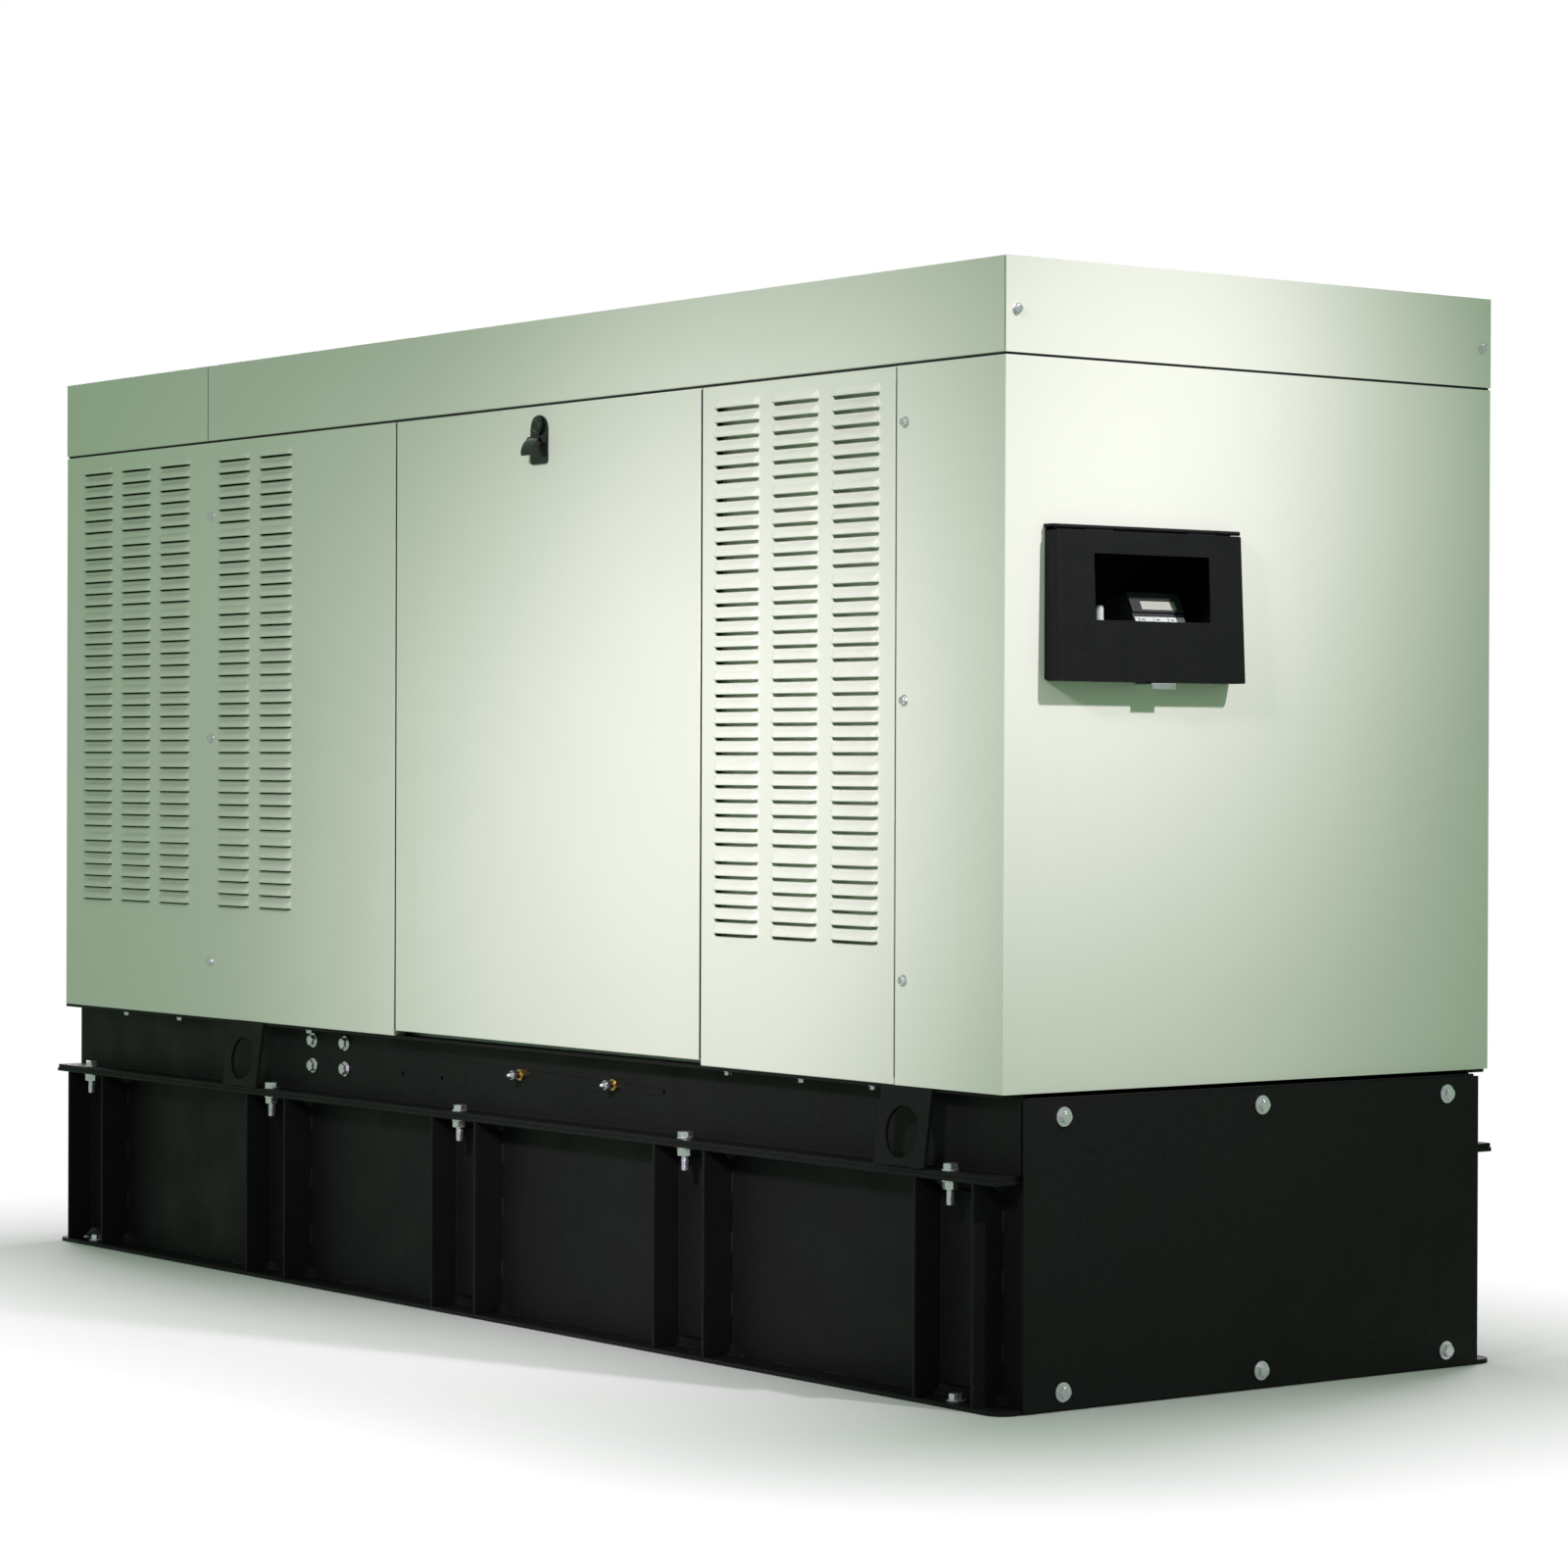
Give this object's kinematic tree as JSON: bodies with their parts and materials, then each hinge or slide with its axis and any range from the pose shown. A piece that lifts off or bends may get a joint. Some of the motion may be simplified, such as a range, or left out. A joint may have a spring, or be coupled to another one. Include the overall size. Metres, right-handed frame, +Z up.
{
  "type": "standby generator set",
  "caption": "Liquid-cooled standby generator set in a louvred steel enclosure on a skid frame and sub-base fuel tank, with side doors and a lidded control box.",
  "frame": {"origin": "on the floor under the centre plane, at the middle of the enclosure's length, on the tank's underside", "axes": "+X along the length towards the control end, +Y across towards the back door, +Z up"},
  "size_m": [2.6134, 0.938, 1.499],
  "materials": {
    "enclosure_paint": "satin light sage beige powder coat",
    "base_black": "satin black powder coat, fine texture",
    "galvanised": "galvanised sheet",
    "zinc": "zinc plated",
    "machined_steel": "turned steel",
    "brass": "machined",
    "latch_black": "gloss black e-coat",
    "black_plastic": "fine moulded grain",
    "controller_grey": "satin moulded",
    "lcd": "display window",
    "key_silver": "silver keys",
    "engine_paint": "grey engine enamel",
    "generator_paint": "dark grey enamel",
    "cast_iron": "as cast",
    "aluminium": "as cast and finned",
    "rubber": "moulded",
    "exhaust_steel": "aluminised",
    "handle_grey": "moulded",
    "cap_red": "moulded"
  },
  "bodies": {
    "base": {"tank_bottom_plate": "base_black", "tank_walls": "base_black", "tank_top_plate": "base_black", "tank_stiffeners": "base_black", "end_plate": "base_black", "base_frame": "base_black", "lifting_brackets": "base_black", "flange_bolts": "zinc", "frame_bolts": "zinc", "drain_fittings": "brass", "panel_screws": "zinc", "side_panel_front": "enclosure_paint", "side_panel_back": "enclosure_paint", "intake_panel_front": "enclosure_paint", "intake_panel_back": "enclosure_paint", "discharge_end_panel": "enclosure_paint", "control_end_panel": "enclosure_paint", "roof_main": "enclosure_paint", "roof_discharge": "enclosure_paint", "roof_end_cap": "enclosure_paint", "frame_posts": "galvanised", "door_frames": "galvanised", "radiator_bulkhead": "galvanised", "door_seals": "rubber", "control_box": "black_plastic", "controller": "controller_grey", "controller_display": "lcd", "engine_block": "engine_paint", "cylinder_head": "cast_iron", "fan_belt": "rubber", "fan_shroud": "base_black", "radiator": "aluminium", "charging_alternator": "aluminium", "generator_stator": "generator_paint", "isolators": "rubber", "battery": "black_plastic", "muffler": "exhaust_steel", "air_cleaner": "black_plastic", "main_breaker": "black_plastic"},
    "door_front_body": {"door_front": "enclosure_paint", "latch_plate_front": "latch_black"},
    "lever_front_body": {"latch_lever_front": "latch_black"},
    "lock_front_body": {"lock_cylinder_front": "machined_steel", "lock_cam_front": "machined_steel"},
    "door_back_body": {"door_back": "enclosure_paint", "latch_plate_back": "latch_black"},
    "lever_back_body": {"latch_lever_back": "latch_black"},
    "lock_back_body": {"lock_cylinder_back": "machined_steel", "lock_cam_back": "machined_steel"},
    "lid_body": {"control_lid": "black_plastic"},
    "key_1_body": {"button_1": "key_silver"},
    "key_2_body": {"button_2": "key_silver"},
    "key_3_body": {"button_3": "key_silver"},
    "crank_train": {"crankshaft": "machined_steel", "generator_rotor": "machined_steel"},
    "fan_body": {"radiator_fan": "black_plastic"},
    "alternator_rotor": {"alternator_pulley": "machined_steel"},
    "fuel_cap_body": {"fuel_cap": "cap_red"},
    "radiator_cap_body": {"radiator_cap": "machined_steel"},
    "breaker_toggle": {"breaker_handle": "handle_grey"}
  },
  "joints": [
    {"name": "door_front_tilt", "type": "hinge", "parent": "base", "child": "door_front_body", "pos_m": [0.20955, -0.4445, 0.4225], "axis": [1, 0, 0], "range_deg": [0, 60]},
    {"name": "door_back_tilt", "type": "hinge", "parent": "base", "child": "door_back_body", "pos_m": [0.20955, 0.4445, 0.4225], "axis": [-1, 0, 0], "range_deg": [0, 60]},
    {"name": "lever_front_lift", "type": "hinge", "parent": "door_front_body", "child": "lever_front_body", "pos_m": [0.207, -0.4505, 1.3204], "axis": [-1, 0, 0], "range_deg": [0, 35]},
    {"name": "lever_back_lift", "type": "hinge", "parent": "door_back_body", "child": "lever_back_body", "pos_m": [0.207, 0.4505, 1.3204], "axis": [1, 0, 0], "range_deg": [0, 35]},
    {"name": "lock_front_turn", "type": "hinge", "parent": "door_front_body", "child": "lock_front_body", "pos_m": [0.207, -0.43, 1.341], "axis": [0, -1, 0], "range_deg": [0, 90]},
    {"name": "lock_back_turn", "type": "hinge", "parent": "door_back_body", "child": "lock_back_body", "pos_m": [0.207, 0.43, 1.341], "axis": [0, -1, 0], "range_deg": [0, 90]},
    {"name": "control_lid_lift", "type": "hinge", "parent": "base", "child": "lid_body", "pos_m": [1.303, -0.21625, 1.151], "axis": [0, -1, 0], "range_deg": [0, 100]},
    {"name": "crank_turn", "type": "hinge", "parent": "base", "child": "crank_train", "pos_m": [0, 0, 0.68], "axis": [1, 0, 0], "continuous": true},
    {"name": "fan_turn", "type": "hinge", "parent": "base", "child": "fan_body", "pos_m": [-0.45, 0, 0.88], "axis": [1, 0, 0], "continuous": true},
    {"name": "alternator_turn", "type": "hinge", "parent": "base", "child": "alternator_rotor", "pos_m": [-0.36, -0.215, 0.86], "axis": [1, 0, 0], "continuous": true},
    {"name": "fuel_cap_lift", "type": "slide", "parent": "base", "child": "fuel_cap_body", "axis": [0, 0, 1], "range_m": [0, 0.06]},
    {"name": "radiator_cap_turn", "type": "hinge", "parent": "base", "child": "radiator_cap_body", "pos_m": [-0.575, -0.2, 1.255], "axis": [0, 0, 1], "range_deg": [0, 90]},
    {"name": "breaker_switch", "type": "hinge", "parent": "base", "child": "breaker_toggle", "pos_m": [0.53, -0.318, 1.125], "axis": [1, 0, 0], "range_deg": [0, 50]},
    {"name": "key_1_press", "type": "slide", "parent": "base", "child": "key_1_body", "axis": [-0.8846, 0, -0.4664], "range_m": [0, 0.0015], "stiffness_N_per_m": 600},
    {"name": "key_2_press", "type": "slide", "parent": "base", "child": "key_2_body", "axis": [-0.8846, 0, -0.4664], "range_m": [0, 0.0015], "stiffness_N_per_m": 600},
    {"name": "key_3_press", "type": "slide", "parent": "base", "child": "key_3_body", "axis": [-0.8846, 0, -0.4664], "range_m": [0, 0.0015], "stiffness_N_per_m": 600}
  ],
  "couplings": [
    {"joint": "fan_turn", "follows": "crank_turn", "ratio": 1.3077},
    {"joint": "alternator_turn", "follows": "crank_turn", "ratio": 2.2667}
  ]
}
